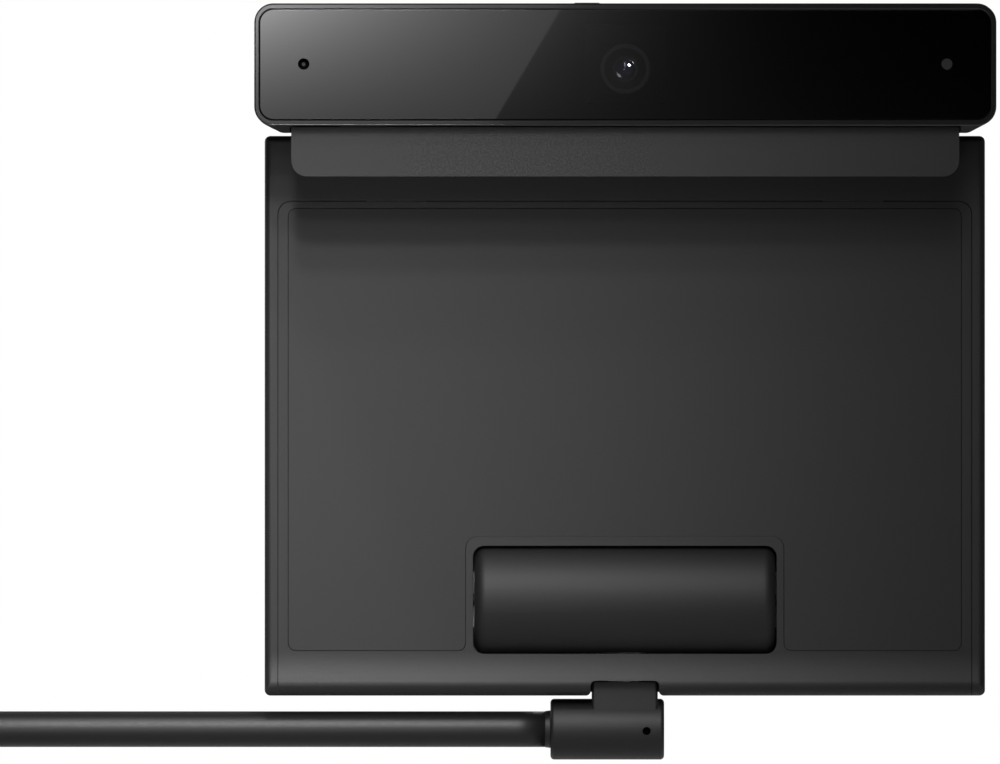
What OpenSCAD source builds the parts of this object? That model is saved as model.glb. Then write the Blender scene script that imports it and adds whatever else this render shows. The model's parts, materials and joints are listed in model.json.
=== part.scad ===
// Camera bar that stands on the top edge of a television: a head with a camera behind
// glass, a front lip that folds up, a rear leg that swings, a rocking pad low on the leg,
// and a cable with a right-angle plug.
// Frame: X to the right, Y to the rear, Z up. The origin is the television's top front
// edge at mid width, so y = 0 is the lip's rubber face and z = 0 is the head's underside.

/* [Head] */
// Width of the head across its rim
head_w = 186; // [184:1:190]
// Top of the head
head_top = 32.3; // [32:0.1:34]
// Lower edge of the rim ring
rim_bottom = 1.6; // [1.5:0.1:1.8]
// Corner radius of the rim
rim_r = 4.8; // [4.6:0.1:5]
// Distance of the rim's front face ahead of the lip's rubber
rim_front = 8; // [8:0.1:8.6]
// Wall thickness of the moulded shells
wall = 2; // [1.8:0.1:2]

/* [Glass and camera] */
// Width of the front glass
glass_w = 183; // [182:0.5:183.4]
// Lower edge of the front glass
glass_bottom = 3.3; // [3.2:0.1:3.6]
// Upper edge of the front glass
glass_top = 30.7; // [30:0.1:30.9]
// Corner radius of the front glass
glass_r = 3.3; // [3:0.1:3.6]
// Distance of each small port from mid width
port_x = 80.6; // [78:0.1:82]
// Height of the small ports
port_z = 17.1; // [16:0.1:18]
// Diameter of the small ports
port_d = 2.8; // [2.4:0.1:3]
// Height of the lens
lens_z = 15.9; // [15.6:0.1:16.4]
// Diameter of the lens
lens_d = 5.2; // [4.8:0.1:5.4]

/* [Privacy shutter] */
// Middle of the slider knob when the shutter is open
knob_x = -9.6; // [-11:0.1:-9]
// Width of the slider knob
knob_w = 6.4; // [6:0.1:7.5]
// Travel from open to closed
shutter_travel = 17.2; // [16.8:0.1:17.4]

/* [Front lip] */
// Width of the lip
lip_w = 167.5; // [160:0.5:168]
// How far the lip reaches down over the television's front
lip_drop = 11.1; // [9:0.1:11.6]
// Radius of the lip's lower corners
lip_r = 4; // [2:0.1:4.5]

/* [Rear leg] */
// Width of the leg
leg_w = 181.2; // [178:0.2:182]
// Lower edge of the leg
leg_bottom = -141.5; // [-143:0.1:-141]
// Radius of the leg's upright edges
leg_edge_r = 1.8; // [1.5:0.1:2.2]
// How far the foot of the leg swells forward
foot_bulge = 1.2; // [0.8:0.1:1.6]

/* [Rocking pad] */
// Width of the pad
pad_w = 75.8; // [72:0.2:77]
// Height of the pad
pad_h = 26.6; // [26:0.1:27.2]
// Height of the pad's pivot
pad_z = -117.4; // [-118:0.1:-117]

/* [Cable] */
// Diameter of the cable
cable_d = 9; // [8:0.5:9]
// Height of the plug's axis
plug_z = -150; // [-151:0.1:-150]
// Diameter of the plug's round body
plug_d = 15.3; // [14.7:0.1:15.5]

/* [Hidden] */
$fn = 64;

// Colours
graphite = "#2b2c2e";
black = "#101114";
lip_grey = "#3a3b3e";
rubber = "#1c1d1f";
steel = "#a9adb3";
board_green = "#1f5a3c";

// Head depths: rim, shell front, glass and rear
shell_front = -5;
glass_front = -rim_front + 0.1;
glass_t = 1.4;
glass_back = glass_front + glass_t;
half_head = head_w / 2;
belly_r = 3;
belly_x = half_head - 7.4;
cavity_front_floor = 7.4;
cavity_rear_floor = 3.2;
cavity_step_y = 14.8;

// Leg hinge axis and the barrel of the head around it
hinge_y = 34;
hinge_z = 8;
barrel_r = 7;
hinge_pin_r = 2;
head_rear = hinge_y + barrel_r;
crown_r = 10;
relief_y = 21;
relief_z = 1.4;
arm_x = 57.5;
arm_w = 15;
arm_hub_r = 6.5;
arm_stem = 11;
slot_gap = 0.5;

// Top of the camera baffle; the shutter's arm passes over it
baffle_top = 27.1;
shutter_arm_z = [27.25, 27.85];

// Lip hinge and the recess that the lip folds into
lip_axis_y = -1.9;
lip_axis_z = 3.2;
lip_front = -4.4;
lip_back = -1;
lip_top = 1.3;
lip_pin_r = 0.8;
lug_r = 1.6;
knuckle_r = 1.9;
knuckle_x = 66;
knuckle_w = 12;
lug_w = 3.6;
recess_rear = 13.2;
recess_ceiling = 5.6;

// Leg
leg_top = -0.7;
leg_front = 26;
leg_rear = 42;
half_leg = leg_w / 2;
cover_x = half_leg - 3.4;
cover_top = -17.2;
cover_back = 28.1;
panel_x = half_leg - 5.9;
panel_top = -18.9;
panel_bottom = -130.2;
panel_notch_x = 40;
panel_notch_z = -101.5;
panel_back = 27;
ramp_top = -131;
ramp_bottom = -137;
foot_r = 3.7;
leg_cavity_back = 39.8;
seam = 0.1;
cover_seam = 0.15;
panel_seam = 0.05;
leg_corner_r = 1.5;

// Rocking pad
pad_r = 15.7;
pad_axis_y = 36.2;
pad_end_r = 3;
core_r = 13.2;
pad_gap = 0.3;
rocker_back = 29.5;
rocker_pin_r = 1.5;

// Plug and socket
neck_w = 16.6;
neck_t = 11.8;
neck_top = -138.1;
plug_left = -18.7;
plug_right = 9.9;
notch_w = 17.2;
notch_top = -137.75;
notch_back = 40.6;
notch_flare = 1.2;
collar_w = 1.4;
cable_exit = plug_left - collar_w;
plug_light_x = 5.5;
plug_light_r = 1.05;

// Hank: three oval turns that lie side by side, a cable's diameter apart
hank_r = 36;
hank_h = 168;
hank_x = -202;
hank_top = -196;
hank_front = 30;
hank_back = 61;
tie_w = 16;
tie_t = 1.5;

// The cable's route: straight from the plug, a quarter bend, then down into the hank
bend_r = 42;
bend_x = hank_x + bend_r;
cable_route = concat(
    [for (x = [cable_exit, -50, -80, -110, -140]) [x, hinge_y, plug_z]],
    [for (a = [0:11.25:90])
        [bend_x - bend_r * sin(a), hinge_y, plug_z - bend_r * (1 - cos(a))]],
    [[hank_x, hinge_y, -207], [hank_x, hinge_y, -222], [hank_x, hinge_y, -236]]);
// From the hank to the far plug
tail_route = [
    [-202, 60.5, -232], [-202, 61, -242], [-202, 62.5, -252], [-202, 65, -262],
    [-202, 66.7, -271], [-202, 67, -279.7]
];

// Rounded rectangle between two corners
module rounded(x0, x1, y0, y1, r) {
    translate([x0 + r, y0]) square([x1 - x0 - 2 * r, y1 - y0]);
    translate([x0, y0 + r]) square([x1 - x0, y1 - y0 - 2 * r]);
    for (x = [x0 + r, x1 - r], y = [y0 + r, y1 - r])
        translate([x, y]) circle(r);
}

// Front-view outline (x, z) drawn from y0 back to y1
module along_y(y0, y1) {
    translate([0, y1, 0]) rotate([90, 0, 0]) linear_extrude(y1 - y0) children();
}

// Side-view outline (y, z) drawn from x0 to x1
module along_x(x0, x1) {
    translate([x0, 0, 0]) rotate([90, 0, 90]) linear_extrude(x1 - x0) children();
}

// Plan outline (x, y) drawn from z0 up to z1
module along_z(z0, z1) {
    translate([0, 0, z0]) linear_extrude(z1 - z0) children();
}

module block(x0, x1, y0, y1, z0, z1) {
    translate([x0, y0, z0]) cube([x1 - x0, y1 - y0, z1 - z0]);
}

module rod_x(y, z, r, x0, x1) {
    along_x(x0, x1) translate([y, z]) circle(r);
}

module rod_y(x, z, r, y0, y1) {
    along_y(y0, y1) translate([x, z]) circle(r);
}

// Round bar along X with rounded ends
module soft_bar(y, z, r, x0, x1, edge) {
    translate([x0, y, z]) rotate([0, 90, 0]) rotate_extrude() intersection() {
        rounded(-r, r, 0, x1 - x0, edge);
        square([r, x1 - x0]);
    }
}

// Unit normal of the line that touches two circles on their lower left side
function touch_normal(c1, r1, c2, r2) =
    let (d = c2 - c1, a = atan2(d[1], d[0]) - acos((r1 - r2) / norm(d)))
    [cos(a), sin(a)];

// ---- Head ----

// Front view of the head: rim corners that run into a narrower flat belly
module head_outline() {
    corner = [-(half_head - rim_r), rim_bottom + rim_r];
    belly = [-belly_x, belly_r];
    n = touch_normal(corner, rim_r, belly, belly_r);
    a = corner + rim_r * n;
    b = belly + belly_r * n;
    top = head_top - rim_r;
    polygon([
        [-half_head, corner[1]], a, b, [belly[0], 0], [-belly[0], 0], [-b[0], b[1]],
        [-a[0], a[1]], [half_head, corner[1]], [half_head, top],
        [half_head - rim_r, head_top], [rim_r - half_head, head_top], [-half_head, top]
    ]);
    for (s = [-1, 1]) {
        translate([s * corner[0], corner[1]]) circle(rim_r);
        translate([s * corner[0], top]) circle(rim_r);
        translate([s * belly[0], belly[1]]) circle(belly_r);
    }
}

// Side view of the head, with the hinge barrel at its lower rear
module head_side() {
    polygon([
        [shell_front, rim_bottom], [shell_front + rim_bottom, 0], [relief_y, 0],
        [relief_y + relief_z, relief_z], [hinge_y, relief_z], [hinge_y, hinge_z],
        [head_rear, hinge_z], [head_rear, head_top - crown_r],
        [head_rear - crown_r, head_top], [shell_front, head_top]
    ]);
    translate([hinge_y, hinge_z]) circle(barrel_r);
    translate([head_rear - crown_r, head_top - crown_r]) circle(crown_r);
}

// Side view of the room inside the head
module head_cavity_side() {
    polygon([
        [shell_front - 1, cavity_front_floor], [cavity_step_y, cavity_front_floor],
        [cavity_step_y, cavity_rear_floor], [hinge_y, cavity_rear_floor],
        [hinge_y, hinge_z], [head_rear - wall, hinge_z],
        [head_rear - wall, head_top - crown_r], [head_rear - crown_r, head_top - wall],
        [shell_front - 1, head_top - wall]
    ]);
    translate([hinge_y, hinge_z]) circle(barrel_r - wall);
    translate([head_rear - crown_r, head_top - crown_r]) circle(crown_r - wall);
}

module head_solid() {
    intersection() {
        along_y(shell_front, head_rear + 1) head_outline();
        along_x(-half_head, half_head) head_side();
        along_z(-1, head_top + 1) rounded(-half_head, half_head, -20, head_rear, 8);
    }
}

module head_cavity() {
    x = half_head - wall;
    intersection() {
        along_y(shell_front - 1, head_rear)
            rounded(-x, x, cavity_rear_floor, head_top - wall, 4);
        along_x(-x, x) head_cavity_side();
        along_z(0, head_top) rounded(-x, x, -20, head_rear - wall, 6);
    }
}

// Ears that hold the lip's hinge pins
module lip_lugs() {
    for (s = [-1, 1])
        for (x = [knuckle_x - knuckle_w / 2 - 0.4 - lug_w / 2,
                  knuckle_x + knuckle_w / 2 + 0.4 + lug_w / 2])
            along_x(s * x - lug_w / 2, s * x + lug_w / 2) {
                translate([lip_axis_y, lip_axis_z]) circle(lug_r);
                translate([lip_axis_y - lug_r, lip_axis_z])
                    square([2 * lug_r, recess_ceiling - lip_axis_z + 0.2]);
            }
}

// Row of upright sound slots in the head's rear wall
module sound_slots() {
    for (s = [-1, 1], i = [0:9])
        along_y(head_rear - 3, head_rear + 1)
            rounded(s * (22 + 3.6 * i) - 0.8, s * (22 + 3.6 * i) + 0.8, 17, 23.5, 0.75);
}

rest_screw_x = [30, 80];
rest_screw_y = 17.2;

module head_front_bezel() {
    color(graphite)
    difference() {
        along_y(-rim_front, shell_front)
            rounded(-half_head, half_head, rim_bottom, head_top, rim_r);
        along_y(-rim_front - 1, glass_back)
            rounded(-glass_w / 2 - seam, glass_w / 2 + seam, glass_bottom - seam,
                    glass_top + seam, glass_r + seam);
        along_y(-rim_front, 0)
            rounded(-half_head + 5, half_head - 5, 6, head_top - 4.3, 2);
    }
}

module front_glass() {
    color(black)
    difference() {
        along_y(glass_front, glass_back)
            rounded(-glass_w / 2, glass_w / 2, glass_bottom, glass_top, glass_r);
        for (s = [-1, 1])
            rod_y(s * port_x, port_z, port_d / 2, glass_front - 1, glass_back + 1);
    }
}

module head_shell() {
    gap = 0.35;
    color(graphite)
    difference() {
        union() {
            difference() {
                head_solid();
                head_cavity();
                block(-lip_w / 2 - gap, lip_w / 2 + gap, shell_front - 1, recess_rear,
                      -1, recess_ceiling);
            }
            lip_lugs();
        }
        rod_x(lip_axis_y, lip_axis_z, lip_pin_r, -half_head + 12, half_head - 12);
        for (s = [-1, 1])
            block(s * arm_x - arm_w / 2 - slot_gap, s * arm_x + arm_w / 2 + slot_gap,
                  hinge_y - 7.7, head_rear + 1, -1, hinge_z + 7.2);
        // room for the camera baffle, and the slot of the slider knob
        block(-13, 13, shell_front - 1, -3.6, recess_ceiling - 1, cavity_front_floor + 1);
        block(knob_x - knob_w / 2 - 0.3, knob_x + knob_w / 2 + shutter_travel + 0.3,
              -4.5, -0.9, head_top - wall - 1, head_top + 1);
        // the rest pad's bed and the screws under it
        block(-84.1, 84.1, 13.9, 20.5, -1, 1);
        for (s = [-1, 1], x = rest_screw_x) {
            translate([s * x, rest_screw_y, 0]) cylinder(r = 1.05, h = 5);
            translate([s * x, rest_screw_y, 0]) cylinder(r = 2.1, h = 2.2);
        }
        sound_slots();
    }
}

module head_chassis() {
    color(steel)
    difference() {
        union() {
            block(-88, 88, -2, 27, 7.5, 8.5);
            block(-88, 88, 26, 27, 7.5, 20);
        }
        for (s = [-1, 1], x = rest_screw_x)
            translate([s * x, rest_screw_y, 7]) cylinder(r = 1, h = 3);
        for (x = [-72, -36, 0, 36, 72])
            along_z(7, 9) rounded(x - 6, x + 6, 19.6, 24.4, 2);
    }
}

module hinge_brackets() {
    cheek = 5;
    color(steel)
    for (s = [-1, 1])
        difference() {
            union() {
                for (e = [-1, 1]) {
                    x = s * arm_x + e * (arm_w / 2 + 1 + cheek / 2);
                    along_x(x - cheek / 2, x + cheek / 2) {
                        translate([hinge_y, hinge_z]) circle(4.7);
                        translate([27.1, hinge_z]) square([6.9, 13]);
                        translate([27.1, 3.5]) square([6.9, 5]);
                    }
                }
                block(s * arm_x - arm_w / 2 - 1.2, s * arm_x + arm_w / 2 + 1.2, 27.1,
                      29.6, 15.4, hinge_z + 13);
            }
            rod_x(hinge_y, hinge_z, hinge_pin_r, s * arm_x - 20, s * arm_x + 20);
        }
}

module hinge_pins() {
    color(steel)
    for (s = [-1, 1])
        rod_x(hinge_y, hinge_z, hinge_pin_r, s * arm_x - 13.5, s * arm_x + 13.5);
}

module lip_hinge_pins() {
    color(steel)
    for (s = [-1, 1])
        rod_x(lip_axis_y, lip_axis_z, lip_pin_r, s * knuckle_x - 10, s * knuckle_x + 10);
}

module head_rest_pad() {
    color(rubber)
    along_z(0, 1) rounded(-84, 84, 14, 20.4, 1);
}

// Square funnel that shades the lens, flush behind the glass
module camera_baffle() {
    front = [10.3, 7.2, 26.7];
    rear = [6.5, lens_z - 6.5, lens_z + 6.5];
    y0 = -5.31;
    y1 = -2.19;
    color(black)
    difference() {
        union() {
            block(-12.6, 12.6, -5.3, -3.9, 6.1, baffle_top);
            block(-12.6, 12.6, -3.9, -2.2, 7.5, 26);
            block(-12.6, 12.6, -2.2, -1.2, 8.7, 26);
        }
        rod_y(0, lens_z, 6.3, -3, 0);
        polyhedron(
            [[-front[0], y0, front[1]], [front[0], y0, front[1]],
             [front[0], y0, front[2]], [-front[0], y0, front[2]],
             [-rear[0], y1, rear[1]], [rear[0], y1, rear[1]],
             [rear[0], y1, rear[2]], [-rear[0], y1, rear[2]]],
            [[0, 3, 2, 1], [4, 5, 6, 7], [0, 1, 5, 4], [1, 2, 6, 5], [2, 3, 7, 6],
             [3, 0, 4, 7]]);
    }
}

module camera_barrel() {
    color(black)
    translate([0, 0, lens_z]) rotate([-90, 0, 0]) difference() {
        union() {
            translate([0, 0, -3.4]) cylinder(r = 6.25, h = 7);
            translate([0, 0, 3.5]) cylinder(r = 5.6, h = 5.5);
        }
        translate([0, 0, -3.41]) cylinder(r1 = 5.25, r2 = 3.1, h = 1.6);
        translate([0, 0, -3]) cylinder(r = lens_d / 2 + 0.05, h = 4);
        translate([0, 0, -1]) cylinder(r = 1.6, h = 11);
    }
}

module camera_lens() {
    color("#20262e")
    intersection() {
        rod_y(0, lens_z, lens_d / 2, -3, 0.9);
        translate([0, 2.2, lens_z]) sphere(r = 4.4);
    }
}

module camera_board() {
    color(board_green)
    difference() {
        block(-14, 14, 9.1, 10.3, 8.7, 27);
        for (s = [-1, 1])
            rod_y(s * 11.5, 24.5, 0.9, 9, 11);
    }
}

module camera_bracket() {
    color(steel)
    difference() {
        union() {
            block(-17, 17, 4.2, 5.2, 8.6, 28.5);
            for (s = [-1, 1])
                block(s * 15.5 - 1.5, s * 15.5 + 1.5, 5.2, 12, 8.6, 9.6);
        }
        rod_y(0, lens_z, 5.65, 4, 6);
    }
}

module microphone_gasket() {
    color(rubber)
    difference() {
        rod_y(-port_x, port_z, 2.8, glass_back, -5.2);
        rod_y(-port_x, port_z, 0.5, glass_back - 1, -5);
    }
}

module port_board_plate(x0, x1) {
    color(board_green)
    block(x0, x1, -5.2, -4.2, 10, 24);
}

module microphone_board() {
    port_board_plate(-half_head + 5.5, -72);
}

module status_light_board() {
    port_board_plate(72, half_head - 5.5);
}

module status_light_pipe() {
    color("#6d7075") {
        rod_y(port_x, port_z, port_d / 2 - 0.05, glass_front + 0.1, glass_back);
        rod_y(port_x, port_z, 2.4, glass_back, -5.2);
    }
}

module speaker(s) {
    color(black)
    difference() {
        along_y(5.5, 25.6) rounded(min(s * 20, s * 60), max(s * 20, s * 60), 8.8, 29.6, 3);
        rod_y(s * 40, 19.2, 8.5, 24.6, 26);
    }
    color("#55585c")
    rod_y(s * 40, 19.2, 6, 24.59, 25.4);
}

module speaker_left() {
    speaker(-1);
}

module speaker_right() {
    speaker(1);
}

module head_screws() {
    color(steel)
    for (s = [-1, 1], x = rest_screw_x) {
        translate([s * x, rest_screw_y, 1.1]) cylinder(r = 2, h = 1.1);
        translate([s * x, rest_screw_y, 2.1]) cylinder(r = 1, h = 6.5);
    }
}

// ---- Privacy shutter ----

module shutter_blade() {
    x = knob_x - 7.5;
    color(black) {
        along_y(-6.15, -5.6) rounded(x - 6.6, x + 6.6, 9.2, 27, 1);
        block(knob_x - 3, knob_x - 1, -6.15, -5.6, 25.5, shutter_arm_z[1]);
        block(knob_x - 3, knob_x - 1, -6.15, -1.5, shutter_arm_z[0], shutter_arm_z[1]);
    }
}

module shutter_slider() {
    color(graphite)
    along_z(shutter_arm_z[1], head_top + 0.2)
        rounded(knob_x - knob_w / 2, knob_x + knob_w / 2, -4.2, -1.2, 0.6);
}

// ---- Front lip ----

module front_lip() {
    color(lip_grey)
    difference() {
        union() {
            along_y(lip_front, lip_back) {
                rounded(-lip_w / 2, lip_w / 2, -lip_drop, lip_top - 0.6, lip_r);
                rounded(-lip_w / 2, lip_w / 2, -lip_drop + lip_r, lip_top, 0.5);
            }
            for (s = [-1, 1])
                along_x(s * knuckle_x - knuckle_w / 2, s * knuckle_x + knuckle_w / 2) {
                    translate([lip_axis_y, lip_axis_z]) circle(knuckle_r);
                    translate([lip_axis_y - knuckle_r, lip_top - 0.5])
                        square([2 * knuckle_r - 0.9, lip_axis_z - lip_top + 0.5]);
                }
        }
        for (s = [-1, 1])
            rod_x(lip_axis_y, lip_axis_z, lip_pin_r + 0.05, s * knuckle_x - 10,
                  s * knuckle_x + 10);
    }
}

module lip_pad() {
    color(rubber)
    along_y(lip_back, 0)
        rounded(-lip_w / 2 + 1.5, lip_w / 2 - 1.5, -lip_drop + 1, lip_top - 0.8,
                lip_r - 1);
}

// ---- Rear leg ----

module leg_plan(front) {
    rounded(-half_leg, half_leg, front, leg_rear, leg_edge_r);
}

// Outer form of the leg: an even slab that swells forward at its foot
module leg_solid() {
    intersection() {
        union() {
            along_z(ramp_top, leg_top) leg_plan(leg_front);
            hull() {
                along_z(ramp_top, ramp_top + 0.01) leg_plan(leg_front, $fn = 32);
                along_z(ramp_bottom, ramp_bottom + 0.01)
                    leg_plan(leg_front - foot_bulge, $fn = 32);
            }
            along_z(leg_bottom, ramp_bottom + 0.005) leg_plan(leg_front - foot_bulge);
        }
        along_x(-half_leg - 1, half_leg + 1) {
            rounded(leg_front - foot_bulge, leg_rear, leg_bottom, -60, foot_r);
            rounded(leg_front, leg_rear, -80, leg_top, 2);
        }
        along_y(leg_front - foot_bulge - 1, leg_rear + 1)
            rounded(-half_leg, half_leg, leg_bottom, leg_top, leg_corner_r);
    }
}

// Outline of the front cover, which runs off the foot of the leg
module cover_outline(grow) {
    rounded(-cover_x - grow, cover_x + grow, leg_bottom - 10, cover_top + grow, 3.3);
}

// Outline of the soft panel: a sheet with a bay around the rocking pad
module panel_outline(grow) {
    x = panel_x + grow;
    bay_x = panel_notch_x - grow;
    bay_top = panel_notch_z + grow;
    inner_r = 3;
    difference() {
        rounded(-x, x, panel_bottom - grow, panel_top + grow, 2);
        rounded(-bay_x, bay_x, panel_bottom - 20, bay_top, inner_r);
        translate([-bay_x - 2, panel_bottom - 20]) square([2 * bay_x + 4, 22 - grow]);
    }
    for (s = [-1, 1])
        translate([s * (bay_x + 2), panel_bottom - grow + 2]) circle(2);
    for (s = [-1, 1])
        translate([s * (bay_x + 4) - 2, panel_bottom - grow]) square([4, 6]);
}

// Notch at the foot of the leg, where the plug goes in; its mouth flares out
module plug_notch() {
    x = notch_w / 2;
    along_y(0, notch_back) {
        rounded(-x, x, leg_bottom - 10, notch_top, 1.2);
        for (s = [-1, 1])
            difference() {
                translate([s * (x + notch_flare / 2) - notch_flare / 2, leg_bottom - 1])
                    square([notch_flare, notch_flare + 1]);
                translate([s * (x + notch_flare), leg_bottom + notch_flare])
                    circle(notch_flare);
            }
    }
}

board_screw_at = [for (x = [-56, 56], z = [-34, -91]) [x, z]];
cover_screw_at = [for (x = [-80, 80], z = [-26, -76, -126]) [x, z]];
arm_screw_z = [-12, -22];

module leg_rear_shell() {
    x = half_leg - wall;
    color(graphite)
    difference() {
        union() {
            difference() {
                leg_solid();
                block(-x, x, cover_back + seam, leg_cavity_back, leg_bottom + wall + 0.3,
                      leg_top - wall - 0.3);
                along_y(0, cover_back + seam) cover_outline(cover_seam);
            }
            for (p = board_screw_at)
                rod_y(p[0], p[1], 3, 37.2, leg_cavity_back + 0.1);
            for (p = cover_screw_at)
                rod_y(p[0], p[1], 3.2, 30.1, leg_cavity_back + 0.1);
        }
        plug_notch();
        for (p = board_screw_at)
            rod_y(p[0], p[1], 1.22, 30, 41);
        for (p = cover_screw_at) {
            rod_y(p[0], p[1], 1.3, 29, 43);
            rod_y(p[0], p[1], 2.3, 40.4, 43);
        }
        for (s = [-1, 1]) {
            block(s * arm_x - arm_w / 2 - 0.1, s * arm_x + arm_w / 2 + 0.1, hinge_y - 5.6,
                  hinge_y + 5.6, -5, 0);
            for (z = arm_screw_z)
                rod_y(s * arm_x, z, 1.52, 38, 41);
        }
    }
}

module leg_front_cover() {
    window_x = pad_w / 2 + pad_gap;
    window_z = pad_h / 2 + pad_gap;
    color(graphite)
    difference() {
        union() {
            intersection() {
                leg_solid();
                along_y(0, cover_back) cover_outline(0);
            }
            for (p = cover_screw_at)
                rod_y(p[0], p[1], 2.8, cover_back - 0.5, 30);
        }
        along_y(0, panel_back) panel_outline(panel_seam);
        along_y(0, leg_rear)
            rounded(-window_x, window_x, pad_z - window_z, pad_z + window_z, 2.8);
        plug_notch();
        for (p = cover_screw_at)
            rod_y(p[0], p[1], 1.22, 27.3, 31);
    }
}

module leg_soft_panel() {
    color("#333437")
    along_y(leg_front, panel_back) panel_outline(0);
}

module hinge_arm(s) {
    x0 = s * arm_x - arm_w / 2;
    color(steel)
    difference() {
        along_x(x0, x0 + arm_w) {
            translate([hinge_y, hinge_z]) circle(arm_hub_r);
            translate([hinge_y - arm_stem / 2, -28]) square([arm_stem, 28 + hinge_z]);
        }
        rod_x(hinge_y, hinge_z, hinge_pin_r + 0.05, x0 - 1, x0 + arm_w + 1);
        for (z = arm_screw_z) {
            rod_y(s * arm_x, z, 1.52, 28, 41);
            rod_y(s * arm_x, z, 3, 28, 30.2);
        }
    }
}

module hinge_arm_left() {
    hinge_arm(-1);
}

module hinge_arm_right() {
    hinge_arm(1);
}

module arm_screws() {
    color(steel)
    for (s = [-1, 1], z = arm_screw_z) {
        rod_y(s * arm_x, z, 2.8, 28.7, 30.2);
        rod_y(s * arm_x, z, 1.5, 30.1, 40.9);
    }
}

module main_board() {
    color(board_green)
    difference() {
        block(-60, 60, 36, 37.2, -96, -30);
        for (p = board_screw_at)
            rod_y(p[0], p[1], 1.4, 35, 38);
    }
}

module processor_shield() {
    color(steel)
    difference() {
        block(-20, 20, 34.6, 36, -80, -45);
        block(-19.7, 19.7, 34.9, 37, -79.7, -45.3);
    }
}

module thermal_pad() {
    color("#8fb6c9")
    block(-14, 14, 34, 34.6, -74, -51);
}

module heat_spreader() {
    color(steel)
    difference() {
        along_y(33, 34) rounded(-70, 70, -97, -32, 3);
        for (s = [-1, 1], z = [-43, -86])
            along_y(32, 35) rounded(s * 40 - 8, s * 40 + 8, z - 3, z + 3, 2.5);
    }
}

module wifi_antennas() {
    color("#c7a04c")
    for (s = [-1, 1])
        along_y(38.8, leg_cavity_back) rounded(s * 70 - 5, s * 70 + 5, -66, -36, 1);
}

module port_board() {
    color(board_green)
    block(-15, 15, 36.3, 37.5, -137.5, -127);
}

// Socket with a tongue that stands inside the plug's metal shell
module port_socket() {
    color(steel)
    difference() {
        along_z(-137.4, -129) rounded(-5.6, 5.6, 31.7, 36.3, 1.6);
        along_z(-138, -130.4) rounded(-4.6, 4.6, 32.3, 35.7, 1.4);
    }
    color(black)
    block(-3.1, 3.1, 33.7, 34.3, -136, -130.3);
}

// Sheet bracket whose two ears hold the rocker's pin
module rocker_bracket() {
    x = 41.4;
    color(steel)
    difference() {
        union() {
            block(-x, x, 38.9, 39.7, pad_z - 7, pad_z + 7);
            for (s = [-1, 1])
                block(s * (x - 1.1) - 1.1, s * (x - 1.1) + 1.1, hinge_y - 4, 39.7,
                      pad_z - 5, pad_z + 5);
        }
        rod_x(hinge_y, pad_z, rocker_pin_r, -x - 1, x + 1);
    }
}

module rocker_pin() {
    color(steel)
    rod_x(hinge_y, pad_z, rocker_pin_r, -41.4, 41.4);
}

module board_screws() {
    color(steel)
    for (p = board_screw_at) {
        rod_y(p[0], p[1], 2.2, 34.8, 36);
        rod_y(p[0], p[1], 1.2, 35.9, 40.6);
    }
}

module leg_screws() {
    color(steel)
    for (p = cover_screw_at) {
        rod_y(p[0], p[1], 2.1, 40.5, 41.6);
        rod_y(p[0], p[1], 1.2, 27.6, 40.6);
    }
}

// ---- Rocking pad ----

module rocker_form(r, x, z, corner, end) {
    intersection() {
        soft_bar(pad_axis_y, pad_z, r, -x, x, end);
        along_y(0, rocker_back) rounded(-x, x, pad_z - z, pad_z + z, corner);
    }
}

module rocker_core() {
    color(black)
    difference() {
        union() {
            rocker_form(core_r, pad_w / 2 - 2.5, pad_h / 2 - 2.5, 1.5, 1);
            for (s = [-1, 1])
                along_x(s * 32 - 3, s * 32 + 3) {
                    translate([hinge_y, pad_z]) circle(4);
                    translate([rocker_back - 2, pad_z - 4]) square([5, 8]);
                }
        }
        rod_x(hinge_y, pad_z, rocker_pin_r + 0.05, -50, 50);
    }
}

module rocker_pad() {
    color(rubber)
    difference() {
        rocker_form(pad_r, pad_w / 2, pad_h / 2, 2.5, pad_end_r);
        rocker_form(core_r, pad_w / 2 - 2.5, pad_h / 2 - 2.5, 1.5, 1);
    }
}

// ---- Cable ----

module plug_body() {
    color(rubber)
    difference() {
        union() {
            soft_bar(hinge_y, plug_z, plug_d / 2, plug_left, plug_right, 1);
            intersection() {
                along_z(plug_z, neck_top)
                    rounded(-neck_w / 2, neck_w / 2, hinge_y - neck_t / 2,
                            hinge_y + neck_t / 2, 0.8);
                along_y(0, 60) rounded(-neck_w / 2, neck_w / 2, plug_z - 5, neck_top, 1.2);
            }
        }
        rod_y(plug_light_x, plug_z - 0.4, plug_light_r, 20, 28.6);
    }
}

module plug_shell() {
    color(steel)
    difference() {
        along_z(neck_top, -131) rounded(-4.2, 4.2, 32.75, 35.25, 1.2);
        along_z(neck_top + 0.5, -130) rounded(-3.8, 3.8, 33.15, 34.85, 0.8);
    }
}

module plug_light() {
    color(black)
    rod_y(plug_light_x, plug_z - 0.4, plug_light_r - 0.05, 27.8, 28.6);
}

module strain_relief() {
    color(rubber)
    translate([cable_exit, hinge_y, plug_z]) rotate([0, 90, 0])
        cylinder(r1 = cable_d / 2 + 0.05, r2 = cable_d / 2 + 0.25, h = collar_w);
}

function unit(v) = v / norm(v);

// Direction of a route at one of its points
function heading(p, i) = unit(p[min(i + 1, len(p) - 1)] - p[max(i - 1, 0)]);

function ring_at(p, i, r, side, n) =
    let (up = cross(heading(p, i), side))
    [for (k = [0:n - 1]) p[i] + r * (cos(360 * k / n) * side + sin(360 * k / n) * up)];

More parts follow.
